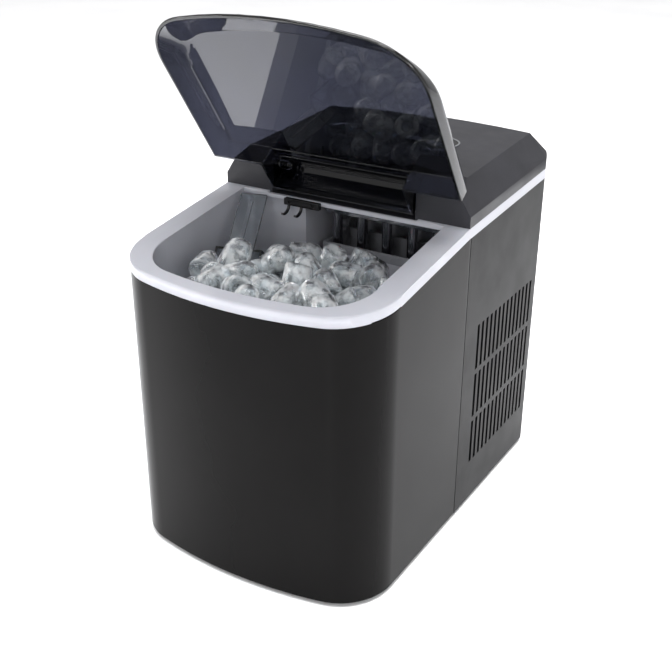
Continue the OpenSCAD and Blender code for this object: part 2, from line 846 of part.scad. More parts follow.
module ice_shovel() {
    y1 = tray_y0 + tray_d - tray_wall - 0.5;
    z0 = tray_z0 + tray_wall + 0.4;
    color("#b4b8bb")
        difference() {
            box([tray_x0 + 3.6, y1 - 4, z0], [tray_x1 - 3.6, y1, finger_top - finger_len - 1.6]);
            for (i = [0:8])
                box([tray_x0 + 10 + i * 12, y1 - 5, z0 - 1], [tray_x0 + 16 + i * 12, y1 + 1, z0 + 3]);
        }
}

module tray_motor() {
    x1 = cham_x0 - tank_wall;
    color("#e6e2d6")
        difference() {
            union() {
                box([x1 - 26, tilt_y - 18, tilt_z - 16], [x1 - 4, tilt_y + 14, tilt_z + 16]);
                for (z = [tilt_z - 12, tilt_z + 12], y = [tilt_y - 14, tilt_y + 10]) xcyl(3, x1 - 6, x1, y, z);
                xcyl(14, x1 - 40, x1 - 26, tilt_y - 2, tilt_z);
            }
            xcyl(shaft_r + pin_play, x1 - 12, x1 + 1, tilt_y, tilt_z);
        }
}

// ---------- water side ----------

module water_pump() {
    color("#2c2d30") {
        translate([pump[0], pump[1], floor_z + 6]) {
            cylinder(r = 21, h = 20);
            translate([0, 0, 20]) cylinder(r = 16, h = 18);
        }
        ycyl(5, pump[1] - 28, pump[1] - 16, pump[0], floor_z + 16);
        translate([outlet[0], outlet[1], floor_z + 20]) cylinder(r = 4, h = 18);
    }
}

module pump_inlet_hose() {
    z = tank_floor + 10;
    x = pump[0];
    color("#dfe3e4")
        tube(route([[x, tank_rear + 0.2, z], [x, 14, z], [x - 10, 14, z], [x - 10, 14, floor_z + 20],
            [x, pump[1] - 28.1, floor_z + 16]], 3), 5.2);
}

module pump_hose() {
    x = evap_x - finger_pitch;
    y = cham_y1 + 10;
    color("#dfe3e4")
        tube(route([[outlet[0], outlet[1], floor_z + 38], [outlet[0], outlet[1], 96], [x, y, 140],
            [x, y, hose_z], [x, cham_y1 - 33, hose_z]], 10), 4.2);
}

module drain_hose() {
    z = tank_floor + 10;
    x = drain_x - 10;
    color("#dfe3e4")
        tube(route([[drain_x, tank_rear + 0.2, z], [drain_x, 16, z], [x, 30, 50], [x, y_rear - 60, drain_z],
            [drain_x, y_rear - 34, drain_z], [drain_x, y_rear - 20, drain_z]], 8), 5.2);
}

module drain_spout() {
    color("#2a2b2d")
        difference() {
            union() {
                ycyl(9.8, y_rear - 20, y_rear, drain_x, drain_z);
                ycyl(12.5, y_rear - wall - 3, y_rear - wall, drain_x, drain_z);
            }
            ycyl(7.5, y_rear - 17, y_rear + 1, drain_x, drain_z);
        }
}

module drain_cap() {
    color("#1c1d1f")
        difference() {
            union() {
                ycyl(7.44, y_rear - 8, y_rear + 1, drain_x, drain_z);
                ycyl(12, y_rear + 0.3, y_rear + 5, drain_x, drain_z);
            }
            for (a = [0:30:330])
                translate([drain_x, y_rear + 1.5, drain_z]) rotate([0, a, 0]) translate([12, 0, 0]) rotate([-90, 0, 0])
                    cylinder(r = 1.2, h = 5, $fn = 16);
            box([drain_x - 8, y_rear + 4, drain_z - 0.8], [drain_x + 8, y_rear + 6, drain_z + 0.8]);
        }
}

// ---------- cooling machinery ----------

module compressor() {
    r = comp_r;
    h = comp_h;
    dome = comp_r * 1.4;
    color("#191a1b")
        translate([comp_x, comp_y, comp_z]) {
            intersection() {
                cylinder(r = r, h = h);
                translate([0, 0, h - dome]) sphere(r = dome, $fn = 96);
            }
            translate([0, 0, h * 0.55]) cylinder(r = r + 1.5, h = 4);
        }
    color("#3c3d3f")
        difference() {
            union() {
                translate([comp_x, comp_y, comp_z - 3]) cylinder(r = comp_r * 0.7, h = 4);
                mount_spots() translate([0, 0, comp_z - 3]) cylinder(r = 9, h = 3);
                for (a = [30:120:270])
                    translate([comp_x, comp_y, comp_z - 3]) rotate(a) translate([0, -7, 0]) cube([comp_r + 4, 14, 3]);
            }
            mount_spots() translate([0, 0, comp_z - 4]) cylinder(r = 3.2 + fit_gap, h = 6);
        }
}

module compressor_mounts() {
    color("#202020")
        mount_spots()
            difference() {
                union() {
                    translate([0, 0, floor_z + 4]) cylinder(r = 7.5, h = comp_z - 3 - floor_z - 4);
                    translate([0, 0, comp_z - 3]) cylinder(r = 3.2, h = 5);
                }
                translate([0, 0, floor_z + 3]) cylinder(r = 1.5, h = 20);
            }
}

module condenser() {
    n = 14;
    pitch = (cond_y1 - cond_y0 - 4) / (n - 1);
    color("#b9bdc0")
        for (i = [0:n - 1])
            box([cond_x0 + 0.5, cond_y0 + 1.5 + i * pitch, 40], [cond_x1 - 0.5, cond_y0 + 2.3 + i * pitch, cond_z1]);
    color("#c17a48")
        for (i = [0:5], x = [cond_x0 + 6, cond_x1 - 6])
            ycyl(3, cond_y0 - 3, cond_y1 + 3, x, 50 + i * cond_pitch);
}

module fan_shroud() {
    color("#1d1e20")
        difference() {
            union() {
                box([cond_x0 - 3, cond_y0, 42], [cond_x0, cond_y1, cond_z1 - 2]);
                xcyl(fan_r + 4.5, cond_x0 - 22, cond_x0 - 2, fan_y, fan_z);
            }
            xcyl(fan_r + 2, cond_x0 - 23, cond_x0 + 1, fan_y, fan_z);
        }
}

module fan_bracket() {
    x0 = cond_x0 - 25;
    color("#606366")
        difference() {
            union() {
                for (a = [90:120:330])
                    translate([0, fan_y, fan_z]) rotate([a, 0, 0])
                        box([x0, -5, 12], [x0 + 3, 5, fan_r + 3.3]);
                xcyl(20, x0 - 8, x0 + 3, fan_y, fan_z);
            }
            xcyl(18, x0 - 9, x0 + 1.5, fan_y, fan_z);
            xcyl(5, x0 - 9, x0 + 9, fan_y, fan_z);
        }
}

module fan_motor() {
    x1 = cond_x0 - 23.5;
    color("#9b9ea1") {
        xcyl(17.9, x1 - 24, x1, fan_y, fan_z);
        xcyl(2, x1 - 1, x1 + 14, fan_y, fan_z);
    }
}

module fan_blades() {
    x0 = cond_x0 - 19;
    color("#2f3033")
        difference() {
            union() {
                xcyl(13, x0, x0 + 12, fan_y, fan_z);
                intersection() {
                    for (a = [0:72:288])
                        translate([x0 + 6, fan_y, fan_z]) rotate([a, 0, 0]) rotate([0, 0, 38])
                            box([-1, -14, 8], [1, 14, fan_r + 6]);
                    xcyl(fan_r, x0, x0 + 12, fan_y, fan_z);
                }
            }
            xcyl(2 + pin_play, x0 - 1, x0 + 10, fan_y, fan_z);
        }
}

module filter_drier() {
    color("#c07a4a")
        translate([drier[0], drier[1], 60])
            rotate_extrude()
                polygon([[0, -6], [2.5, -6], [3, 2], [9, 10], [9, 60], [3, 68], [2.2, 76], [0, 76]]);
}

// Capillary: up from the drier, three turns, then behind the chamber and into the header
module capillary() {
    x = evap_x + 44;
    y = cham_y1 + 12;
    c = [drier[0], drier[1] + 34];
    coil = [for (a = [0:24:1080]) [c[0] + 11 * cos(a), c[1] + 11 * sin(a), 148 + a / 80]];
    color("#c98a55")
        tube(concat(route([[drier[0], drier[1], 136.2], [drier[0], drier[1], 144],
            [c[0] + 11, drier[1] + 14, 147]], 4), coil,
            route([[c[0] + 11, c[1] + 6, 162.5], [x, y, 164], [x, y, pipe_z], [x, row_y[1] + 7, pipe_z]], 5)),
            1.4, 8);
}

module hot_gas_valve() {
    translate([valve[0], valve[1], valve_z]) {
        color("#b5a04f") cylinder(r = 7, h = 22);
        color("#2d3d6b") translate([-12, -12, 22]) cube([24, 24, 20]);
    }
}

module hot_gas_pipe() {
    x = evap_x - 34;
    y = cham_y1 + 12;
    z = valve_z + 10;
    color("#c17a48")
        tube(route([[valve[0] + 7, valve[1], z], [x, valve[1], z], [x, y, z + 24], [x, y, pipe_z],
            [x, row_y[1] + 7, pipe_z]], 5), 3);
}

module discharge_pipe() {
    x = cond_x0 + 6;
    y = cond_y0 - 10;
    color("#c17a48")
        tube(route([[comp_x + 20, comp_y - 16, comp_z + comp_h - 3], [comp_x + 20, comp_y - 16, 136],
            [30, y + 4, 122], [x - 6, y, 122], [x, y, 130], [x, y, 150], [x, cond_y0 - 3, 150]], 5), 3);
}

module suction_pipe() {
    x = evap_x - 46;
    y = cham_y1 + 12;
    color("#c17a48")
        tube(route([[x, row_y[1] + 7, pipe_z], [x, y, pipe_z], [x, y, 200], [comp_x, comp_y, 150],
            [comp_x, comp_y, comp_z + comp_h]], 8), suction_r);
}

// ---------- electronics ----------

// Open box that hangs from the strip behind the chamber, with the main board in it
module board_box() {
    color("#33363a")
        difference() {
            union() {
                box([box_x, box_y, box_z], [box_x + 62, box_y + 54, box_z + 24]);
                intersection() {
                    box([box_x - 3, box_y, box_z], [box_x, box_y + 54, 400]);
                    below_strip();
                }
            }
            box([box_x + 2, box_y + 2, box_z + 2], [box_x + 60, box_y + 52, box_z + 34]);
        }
}

module main_board() {
    translate([box_x, box_y, box_z]) {
        color("#1f5a3a") {
            box([4, 4, 5], [58, 50, 6.6]);
            for (x = [8, 54], y = [8, 46]) translate([x, y, 2]) cylinder(r = 2.5, h = 4);
        }
        color("#2a2a2c") {
            box([10, 8, 6.6], [30, 28, 20]);
            box([36, 10, 6.6], [50, 22, 14]);
            translate([40, 36, 6.6]) cylinder(r = 6, h = 12);
        }
    }
}

front_shell();
rear_shell();
base_pan();
feet();
tank_liner();
tank_foam();
top_cover();
rear_grille();
case_screws();
lid();
hinge_pins();
panel_bezel();
control_lens();
power_button();
select_button();
indicator_leds();
display_board();
main_board();
board_box();
evaporator();
evaporator_bracket();
water_tray();
ice_shovel();
tray_motor();
ice_sensor();
float_stem();
level_float();
ice_basket();
ice_scoop();
water_pump();
pump_hose();
pump_inlet_hose();
compressor();
compressor_mounts();
condenser();
fan_shroud();
fan_bracket();
fan_motor();
fan_blades();
filter_drier();
capillary();
hot_gas_valve();
hot_gas_pipe();
discharge_pipe();
suction_pipe();
drain_spout();
drain_hose();
drain_cap();
cord_gland();
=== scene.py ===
"""Countertop ice maker with its lid standing open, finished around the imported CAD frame."""
import json
import math

import bmesh
import bpy
import numpy as np
from mathutils import Matrix, Vector


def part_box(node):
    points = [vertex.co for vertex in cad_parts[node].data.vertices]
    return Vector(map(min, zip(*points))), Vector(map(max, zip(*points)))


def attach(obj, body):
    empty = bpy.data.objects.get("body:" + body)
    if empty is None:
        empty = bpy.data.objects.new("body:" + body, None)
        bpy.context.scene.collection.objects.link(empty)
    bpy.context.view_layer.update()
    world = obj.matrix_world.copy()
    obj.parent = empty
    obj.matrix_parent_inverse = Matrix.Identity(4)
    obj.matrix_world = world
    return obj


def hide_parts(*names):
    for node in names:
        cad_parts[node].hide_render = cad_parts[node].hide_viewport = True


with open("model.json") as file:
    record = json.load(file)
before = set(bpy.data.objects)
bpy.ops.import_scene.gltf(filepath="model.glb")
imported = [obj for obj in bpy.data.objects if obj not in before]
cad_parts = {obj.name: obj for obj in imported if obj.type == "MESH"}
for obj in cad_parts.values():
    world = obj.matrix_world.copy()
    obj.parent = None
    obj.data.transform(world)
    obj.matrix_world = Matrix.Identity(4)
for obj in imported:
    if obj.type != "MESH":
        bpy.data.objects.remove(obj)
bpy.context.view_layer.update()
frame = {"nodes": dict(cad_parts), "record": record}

bl_info = {
    "name": "Countertop ice maker",
    "version": (1, 0, 0),
    "blender": (4, 5, 0),
    "location": "3D View > Sidebar > Ice maker",
    "description": "Finishes a countertop ice maker around its CAD frame",
    "category": "Object",
}

MM = 0.001
BODY_OF = {node: body for body, nodes in frame["record"]["behaviour"]["bodies"].items() for node in nodes}
WINDOW_TILT = math.radians(3.5)
PRINT_LIFT = 0.08 * MM
SMOOTH_BELOW = math.radians(24)
LEVEL = 0.97


# ---------- colours, nodes and materials ----------

def linear(code):
    """Linear colour of an sRGB hex code."""
    parts = [int(code[i:i + 2], 16) / 255 for i in (1, 3, 5)]
    return [p / 12.92 if p <= 0.04045 else ((p + 0.055) / 1.055) ** 2.4 for p in parts]


def add(tree, kind, links=(), **settings):
    """A node with its settings; links are (input, socket) pairs, and a setting in_x fills the input x."""
    node = tree.nodes.new(kind)
    for name, value in settings.items():
        if name.startswith("in_"):
            key = name[3:]
            node.inputs[int(key) if key.isdigit() else key.replace("_", " ")].default_value = value
        else:
            setattr(node, name, value)
    for name, source in links:
        tree.links.new(source, node.inputs[name])
    return node


def start(name, **sockets):
    """A new material with its Principled shader; constants go straight on the shader's sockets."""
    mat = bpy.data.materials.new(name)
    mat.use_nodes = True
    tree = mat.node_tree
    tree.nodes.clear()
    settings = {"in_" + key.replace(" ", "_"): value for key, value in sockets.items()}
    bsdf = add(tree, "ShaderNodeBsdfPrincipled", **settings)
    add(tree, "ShaderNodeOutputMaterial", [("Surface", bsdf.outputs["BSDF"])])
    place = add(tree, "ShaderNodeTexCoord").outputs["Object"]
    return mat, tree, bsdf, place


def moulded(name, shades, rough, cloud_mm=60, grain_mm=0.8, depth_mm=0.01, stretch=(1, 1, 1), **sockets):
    """Moulded, cast or drawn surface: two close shades in clouds, uneven gloss and a fine grain in relief."""
    mat, tree, bsdf, place = start(name, **sockets)
    clouds = add(tree, "ShaderNodeTexNoise", [("Vector", place)], in_Scale=1 / (cloud_mm * MM), in_Detail=3.0)
    shade = add(tree, "ShaderNodeValToRGB", [("Fac", clouds.outputs["Fac"])])
    for stop, spot, code in zip(shade.color_ramp.elements, (0.3, 0.7), shades):
        stop.position = spot
        stop.color = (*linear(code), 1)
    wear = add(tree, "ShaderNodeTexNoise", [("Vector", place)],
               in_Scale=1 / (cloud_mm * 0.4 * MM), in_Detail=4.0)
    gloss = add(tree, "ShaderNodeMapRange", [("Value", wear.outputs["Fac"])],
                in_1=0.3, in_2=0.7, in_3=rough[0], in_4=rough[1])
    drawn = add(tree, "ShaderNodeMapping", [("Vector", place)], in_Scale=stretch)
    grain = add(tree, "ShaderNodeTexNoise", [("Vector", drawn.outputs["Vector"])],
                in_Scale=1 / (grain_mm * MM), in_Detail=2.0)
    bump = add(tree, "ShaderNodeBump", [("Height", grain.outputs["Fac"])],
               in_Strength=0.6, in_Distance=depth_mm * MM)
    tree.links.new(shade.outputs["Color"], bsdf.inputs["Base Color"])
    tree.links.new(gloss.outputs["Result"], bsdf.inputs["Roughness"])
    tree.links.new(bump.outputs["Normal"], bsdf.inputs["Normal"])
    return mat


def brushed(name, shades, rough, pitch_mm, along):
    """Metal with fine lines along one axis."""
    return moulded(name, shades, rough, pitch_mm * 40, pitch_mm * 12, 0.01,
                   [1.0 if axis == along else 12.0 for axis in range(3)], Metallic=1.0)


def make_finishes():
    """Every finish of the machine, each from what the real one is."""
    f = {}
    # high-gloss ABS: polished moulding, so it mirrors the room with the faintest orange peel
    f["gloss_abs"] = moulded("gloss_black_abs", ("#0c0b0b", "#100f0f"), (0.19, 0.26), 90, 9, 0.012,
                             **{"IOR": 1.5, "Specular IOR Level": 0.07})
    # the same ABS with less polish, as on the rear body
    f["rear_abs"] = moulded("satin_black_abs", ("#111112", "#161617"), (0.30, 0.38), 70, 1.2, 0.008,
                            **{"IOR": 1.5, "Specular IOR Level": 0.08})
    # spark-eroded mould texture: an even, dull sheen
    f["cover_abs"] = moulded("charcoal_abs", ("#2e2e32", "#35353a"), (0.34, 0.44), 50, 0.9, 0.02,
                             **{"IOR": 1.5, "Specular IOR Level": 0.3})
    # white ABS that is slightly translucent: light bleeds at its edges
    f["white_abs"] = moulded("white_abs", ("#b4b5bd", "#bbbcc4"), (0.16, 0.24), 60, 1.4, 0.006,
                             **{"IOR": 1.53, "Subsurface Weight": 0.06, "Subsurface Scale": 0.002})
    # smoked polycarbonate, injection moulded and very smooth
    f["smoked_pc"] = moulded("smoked_polycarbonate", ("#33353f", "#383a47"), (0.01, 0.04), 60, 60, 0.03,
                             **{"IOR": 1.58, "Transmission Weight": 1.0})
    # clear SAN of the scoop, with moulding waves
    f["clear_san"] = moulded("clear_san", ("#f0f7f9", "#fafdfe"), (0.02, 0.08), 14, 14, 0.08,
                             **{"IOR": 1.56, "Transmission Weight": 1.0})
    # frosted polypropylene of the basket
    f["frosted_pp"] = moulded("frosted_polypropylene", ("#cfd4d8", "#dde1e4"), (0.30, 0.42), 10, 10, 0.05,
                              **{"IOR": 1.49, "Transmission Weight": 0.45})
    # frozen water: clear skin over a core that is milky with trapped air, in patches of about 9 mm
    f["ice"] = moulded("ice", ("#e3edf2", "#ffffff"), (0.02, 0.12), 9, 5, 0.5, **{"IOR": 1.31})
    tree = f["ice"].node_tree
    place = add(tree, "ShaderNodeTexCoord").outputs["Object"]
    air = add(tree, "ShaderNodeTexNoise", [("Vector", place)], in_Scale=1 / (8 * MM), in_Detail=4.0)
    clear = add(tree, "ShaderNodeMapRange", [("Value", air.outputs["Fac"])],
                in_1=0.38, in_2=0.62, in_3=0.95, in_4=0.5)
    shader = next(node for node in tree.nodes if node.type == "BSDF_PRINCIPLED")
    tree.links.new(clear.outputs["Result"], shader.inputs["Transmission Weight"])
    # piano-black window of the controls
    f["window"] = moulded("black_window", ("#060607", "#0a0a0b"), (0.06, 0.1), 40, 6, 0.004,
                          **{"IOR": 1.5, "Specular IOR Level": 0.4})
    # white ink printed behind the window
    f["print"] = moulded("white_print", ("#b9bcc0", "#d0d2d5"), (0.3, 0.4), 6, 0.5, 0.004)
    # bright plating on plastic
    f["chrome"] = moulded("bright_plating", ("#b9bcc0", "#c9ccd0"), (0.08, 0.14), 30, 4, 0.004, Metallic=1.0)
    # silver lacquer on the keys
    f["silver"] = moulded("silver_lacquer", ("#a3a6aa", "#b2b5b9"), (0.24, 0.34), 12, 0.5, 0.01, Metallic=0.8)
    # frosted light guide
    f["light_guide"] = moulded("light_guide", ("#5f7884", "#87a2ae"), (0.3, 0.4), 4, 0.5, 0.01)
    # nickel on copper: bright, a little yellow
    f["nickel"] = moulded("nickel_plating", ("#9d9ca2", "#b9b8bc"), (0.12, 0.22), 12, 1.0, 0.01, Metallic=1.0)
    # black polypropylene, matt from its mould
    f["black_pp"] = moulded("black_polypropylene", ("#111112", "#18181a"), (0.32, 0.44), 30, 0.7, 0.012,
                            IOR=1.49)
    # light grey ABS of the tray, satin
    f["tray_abs"] = moulded("light_grey_abs", ("#8f9096", "#9b9ca2"), (0.22, 0.34), 40, 0.8, 0.01, IOR=1.53)
    # mid grey ABS of the shovel
    f["shovel_abs"] = moulded("mid_grey_abs", ("#77787e", "#85868b"), (0.28, 0.4), 30, 0.8, 0.012, IOR=1.53)
    # uncoloured ABS of inner mouldings: creamy
    f["cream_abs"] = moulded("cream_abs", ("#d6cfbb", "#e2dcca"), (0.3, 0.42), 20, 0.7, 0.012, IOR=1.53)
    # filled polypropylene of the base: dull, slightly speckled
    f["pan_pp"] = moulded("pan_polypropylene", ("#1c1d1f", "#26272a"), (0.42, 0.55), 4, 0.6, 0.02, IOR=1.49)
    # natural rubber: dull, dusty black
    f["rubber"] = moulded("black_rubber", ("#141414", "#1f1f1f"), (0.6, 0.75), 8, 0.4, 0.02, IOR=1.52)
    # foamed polyurethane: pale, open pores
    f["foam"] = moulded("rigid_foam", ("#d9cf9f", "#eadfb4"), (0.8, 0.95), 12, 1.6, 0.25, IOR=1.45)
    # silicone hose: milky, soft sheen
    f["silicone"] = moulded("silicone_hose", ("#d5dadb", "#e6eaea"), (0.25, 0.4), 9, 9, 0.02,
                            **{"IOR": 1.41, "Transmission Weight": 0.35})
    # drawn copper: warm, with faint draw lines
    f["copper"] = moulded("drawn_copper", ("#b8653c", "#cf8358"), (0.18, 0.34), 14, 0.6, 0.01,
                          (1, 8, 1), Metallic=1.0)
    # free-cutting brass, turned
    f["brass"] = moulded("machined_brass", ("#b19a55", "#c9b46e"), (0.2, 0.32), 8, 0.4, 0.01, Metallic=1.0)
    # gloss stoving enamel on steel, with a little orange peel
    f["enamel"] = moulded("black_enamel", ("#0e0f10", "#17181a"), (0.16, 0.3), 30, 2.5, 0.02, IOR=1.5)
    # rolled aluminium: lines along the rolling direction
    f["aluminium"] = brushed("mill_aluminium", ("#b0b3b6", "#d2d5d7"), (0.22, 0.36), 0.4, 2)
    # zinc plate on steel: grey, slightly blue
    f["zinc"] = brushed("zinc_plated_steel", ("#8d9094", "#b4b7bb"), (0.25, 0.4), 0.3, 0)
    # turned steel pins
    f["pin_steel"] = brushed("turned_steel", ("#9a9da1", "#c3c6c9"), (0.16, 0.28), 0.2, 0)
    # solder mask over glass laminate: green, with darker tracks about 1.6 mm apart
    f["solder_mask"] = moulded("solder_mask", ("#17492d", "#23683f"), (0.3, 0.4), 1.6, 0.8, 0.02,
                               (1, 6, 1), IOR=1.52)
    return f


FINISH_OF = {
    "front_shell": "gloss_abs", "rear_shell": "rear_abs", "base_pan": "pan_pp", "feet": "rubber",
    "tank_liner": "white_abs", "tank_foam": "foam", "top_cover": "cover_abs", "rear_grille": "black_pp",
    "case_screws": "zinc", "lid": "smoked_pc", "hinge_pins": "pin_steel", "panel_bezel": "chrome",
    "control_lens": "window", "power_button": "silver", "select_button": "silver",
    "indicator_leds": "light_guide", "display_board": "solder_mask", "main_board": "solder_mask",
    "board_box": "pan_pp", "evaporator": "nickel", "evaporator_bracket": "black_pp",
    "water_tray": "tray_abs", "ice_shovel": "shovel_abs", "tray_motor": "cream_abs", "ice_sensor": "black_pp",
    "float_stem": "cream_abs", "level_float": "foam", "ice_basket": "frosted_pp", "ice_scoop": "clear_san",
    "water_pump": "black_pp", "pump_hose": "silicone", "pump_inlet_hose": "silicone",
    "drain_hose": "silicone",
    "compressor": "enamel", "compressor_mounts": "rubber", "condenser": "aluminium", "fan_shroud": "black_pp",
    "fan_bracket": "zinc", "fan_motor": "zinc", "fan_blades": "black_pp", "filter_drier": "copper",
    "capillary": "copper", "hot_gas_valve": "brass", "hot_gas_pipe": "copper", "discharge_pipe": "copper",
    "suction_pipe": "copper", "drain_spout": "black_pp", "drain_cap": "rubber", "cord_gland": "rubber",
}
FINISHES = {}


# ---------- shapes ----------

def dress(thing, finish):
    """Gives an object one finish in place of whatever it has."""
    thing.data.materials.clear()
    thing.data.materials.append(FINISHES[finish])


def piece(name, shape, finish, body, smooth=True):
    """A finished piece from a bmesh, in place, riding on a body."""
    mesh = bpy.data.meshes.new(name)
    shape.to_mesh(mesh)
    shape.free()
    for face in mesh.polygons:
        face.use_smooth = smooth
    thing = bpy.data.objects.new(name, mesh)
    bpy.context.scene.collection.objects.link(thing)
    dress(thing, finish)
    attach(thing, body)
    return thing


def apply_all(thing):
    """Turns the object's modifiers into plain mesh."""
    graph = bpy.context.evaluated_depsgraph_get()
    done = bpy.data.meshes.new_from_object(thing.evaluated_get(graph))
    thing.modifiers.clear()
    thing.data = done


def soften(thing, radius_mm, segments=2, angle=32, where=None):
    """Rounds the sharp edges, as every moulded or cut edge is; where picks them by their ends."""
    shape = bmesh.new()
    shape.from_mesh(thing.data)
    weight = shape.edges.layers.float.new("bevel_weight_edge")
    for edge in shape.edges:
        sharp = len(edge.link_faces) == 2 and edge.calc_face_angle() > math.radians(angle)
        edge[weight] = float(sharp and (where is None or all(where(v.co) for v in edge.verts)))
    shape.to_mesh(thing.data)
    shape.free()
    bevel = thing.modifiers.new("edges", "BEVEL")
    bevel.width = radius_mm * MM
    bevel.segments = segments
    bevel.limit_method = "WEIGHT"
    bevel.use_clamp_overlap = False
    bevel.miter_outer = "MITER_ARC"
    apply_all(thing)


def merged(node):
    """Bmesh copy of a CAD node with its faces joined up."""
    shape = bmesh.new()
    shape.from_mesh(frame["nodes"][node].data)
    bmesh.ops.remove_doubles(shape, verts=shape.verts, dist=0.002 * MM)
    return shape


def refine(node, radius_mm, segments=2, angle=32, where=None):
    """Replaces a CAD node by a copy of the same shape with rounded edges and its own finish."""
    thing = piece(node + "_made", merged(node), FINISH_OF[node], BODY_OF[node])
    if radius_mm:
        soften(thing, radius_mm, segments, angle, where)
    thing.data.set_sharp_from_angle(angle=SMOOTH_BELOW)
    if node == "top_cover":
        # the crown is so wide that its facets don't show, and smoothing would streak it
        for face in thing.data.polygons:
            face.use_smooth = face.normal.z < LEVEL
    flat = thing.modifiers.new("flat_faces", "WEIGHTED_NORMAL")
    flat.keep_sharp = True
    flat.weight = 80
    apply_all(thing)
    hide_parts(node)
    return thing


def repaint(*nodes):
    """Gives CAD nodes whose shape stays their finish."""
    for node in nodes:
        dress(frame["nodes"][node], FINISH_OF[node])


# ---------- what a user would change ----------

class IceMakerSizes(bpy.types.PropertyGroup):
    """Sizes of the details that Blender adds."""
    case_edge: bpy.props.FloatProperty(
        name="Case edge", description="Radius of the housing's edges", default=0.6 * MM, unit="LENGTH")
    rim_edge: bpy.props.FloatProperty(
        name="Rim edge", description="Radius of the white rim's edges", default=1.2 * MM, unit="LENGTH")
    ice_count: bpy.props.IntProperty(
        name="Pieces of ice", description="How many pieces of ice lie in the basket", default=236)
    ice_radius: bpy.props.FloatProperty(
        name="Ice radius", description="Radius of a piece of ice", default=13 * MM, unit="LENGTH")
    ice_length: bpy.props.FloatProperty(
        name="Ice length", description="Length of a piece of ice", default=31 * MM, unit="LENGTH")


class IceMakerLook(bpy.types.PropertyGroup):
    """Camera and light."""
    lens: bpy.props.FloatProperty(
        name="Lens", description="Focal length on a 36 mm sensor, in millimetres", default=55.1)
    azimuth: bpy.props.FloatProperty(
        name="Azimuth", description="Camera's turn to the right of the front", subtype="ANGLE",
        default=math.radians(31.344))
    elevation: bpy.props.FloatProperty(
        name="Elevation", description="Camera's height angle", subtype="ANGLE", default=math.radians(25.404))
    roll: bpy.props.FloatProperty(
        name="Roll", description="Camera's roll", subtype="ANGLE", default=math.radians(0.298))
    distance: bpy.props.FloatProperty(
        name="Distance", description="Camera to its target", default=0.938, unit="LENGTH")
    target: bpy.props.FloatVectorProperty(
        name="Target", description="Point that the camera looks at", default=(-0.00445, -0.004, 0.15445),
        subtype="TRANSLATION")
    floor_dark: bpy.props.StringProperty(
        name="Floor, dark", description="Darker shade of the floor, as an sRGB hex code", default="#f2f2f4")
    floor_light: bpy.props.StringProperty(
        name="Floor, light", description="Lighter shade of the floor, as an sRGB hex code", default="#f8f8f9")


# ---------- the stage ----------

class ICEMAKER_OT_stage(bpy.types.Operator):
    """Camera, pale floor and soft studio light"""
    bl_idname = "icemaker.stage"
    bl_label = "Stage"

    def execute(self, context):
        look = context.scene.ice_maker_look
        target = Vector(look.target)
        flat = math.cos(look.elevation)
        back = Vector((math.sin(look.azimuth) * flat, -math.cos(look.azimuth) * flat,
                       math.sin(look.elevation)))
        right = Vector((math.cos(look.azimuth), math.sin(look.azimuth), 0))
        turn = Matrix((right, back.cross(right), back)).transposed().to_4x4()
        camera = bpy.data.objects.new("camera", bpy.data.cameras.new("camera"))
        camera.matrix_world = (Matrix.Translation(target + back * look.distance) @ turn
                               @ Matrix.Rotation(look.roll, 4, "Z"))
        camera.data.sensor_width = 36
        camera.data.lens = look.lens
        camera.data.clip_end = 20
        context.scene.collection.objects.link(camera)
        context.scene.camera = camera
        self.floor(context, look)
        self.lights(context)
        return {"FINISHED"}

    def floor(self, context, look):
        """Pale, slightly glossy board with a long soft sheen."""
        mat = moulded("pale_board", (look.floor_dark, look.floor_light), (0.12, 0.18), 900, 300, 0.001,
                      IOR=1.45)
        shape = bmesh.new()
        bmesh.ops.create_grid(shape, x_segments=1, y_segments=1, size=8)
        mesh = bpy.data.meshes.new("floor")
        shape.to_mesh(mesh)
        shape.free()
        thing = bpy.data.objects.new("floor", mesh)
        thing.data.materials.append(mat)
        board = bpy.data.collections.new("board")
        context.scene.collection.children.link(board)
        board.objects.link(thing)
        # keeps the board white to its far edge, and lights nothing else
        light = bpy.data.lights.new("floor_light", "SUN")
        light.energy = 2.8
        light.angle = 1.2
        lamp = bpy.data.objects.new("floor_light", light)
        lamp.location = (0, 0, 3)
        lamp.light_linking.receiver_collection = board
        context.scene.collection.objects.link(lamp)

    def lights(self, context):
        """A white backdrop that lights softly, a tall soft box on each side and a large one above."""
        world = bpy.data.worlds.new("white_room")
        world.use_nodes = True
        tree = world.node_tree
        tree.nodes.clear()
        seen = add(tree, "ShaderNodeLightPath").outputs["Is Camera Ray"]
        power = add(tree, "ShaderNodeMapRange", [("Value", seen)], in_3=0.5, in_4=1.02)
        room = add(tree, "ShaderNodeBackground", [("Strength", power.outputs["Result"])],
                   in_Color=(1, 1, 1, 1))
        add(tree, "ShaderNodeOutputWorld", [("Surface", room.outputs["Background"])])
        context.scene.world = world
        context.scene.view_settings.view_transform = "Standard"
        boxes = {
            "right_box": ((1.7, -0.6, 0.9), (0.0, 0.0, 0.15), 0.9, 1.4, 5),
            "left_box": ((-1.5, -1.1, 0.9), (0.0, 0.0, 0.15), 0.7, 1.3, 9),
            "front_box": ((0.45, -1.9, 0.7), (0.0, 0.0, 0.15), 0.35, 1.1, 6),
            "top_box": ((0.1, 0.1, 1.9), (0.0, 0.0, 0.2), 1.4, 1.4, 30),
        }
        for name, (spot, aim, width, height, watts) in boxes.items():
            light = bpy.data.lights.new(name, "AREA")
            light.shape = "RECTANGLE"
            light.size = width
            light.size_y = height
            light.energy = watts
            thing = bpy.data.objects.new(name, light)
            thing.location = spot
            thing.rotation_euler = (Vector(spot) - Vector(aim)).to_track_quat("Z", "Y").to_euler()
            context.scene.collection.objects.link(thing)


# ---------- the machine ----------

